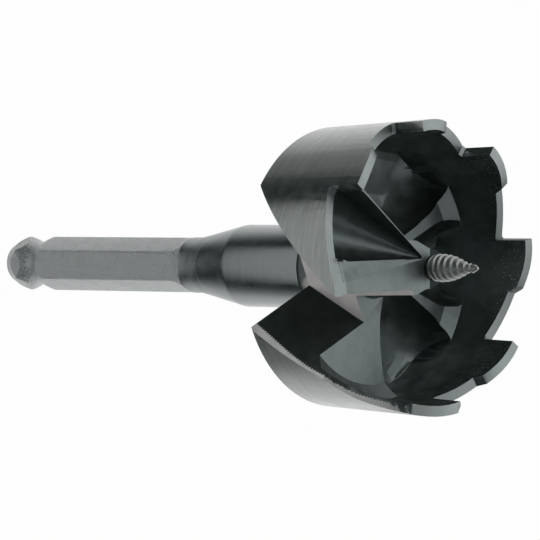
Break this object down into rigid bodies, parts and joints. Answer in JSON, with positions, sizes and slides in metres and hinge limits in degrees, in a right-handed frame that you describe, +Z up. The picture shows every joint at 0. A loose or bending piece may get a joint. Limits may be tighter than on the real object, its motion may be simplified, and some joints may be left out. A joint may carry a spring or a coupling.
{
  "type": "self-feed bit",
  "caption": "Self-feed wood boring bit: toothed steel cup with radial cutter, chip slot, feed screw and hex quick-change shank.",
  "frame": {"origin": "bottom centre of the bounding box of the bit as it lies on a bench, heavy side down, on the head's back edge and the chamfered end of the shank", "axes": "+X along the bench from the shank towards the feed screw, +Z up; the bit's own axis leans up 14.6 degrees towards the screw, and the screw is at the +X end"},
  "size_m": [0.138, 0.065, 0.068],
  "materials": {
    "cutter_head": "black oxide, satin, turned and ground marks",
    "shank": "black oxide, satin, fine turning marks",
    "feed_screw": "bright steel, fine thread",
    "set_screw": "black oxide"
  },
  "bodies": {
    "root": {"cutter_head": "cutter_head", "shank": "shank", "feed_screw": "feed_screw", "set_screw": "set_screw"}
  },
  "joints": []
}
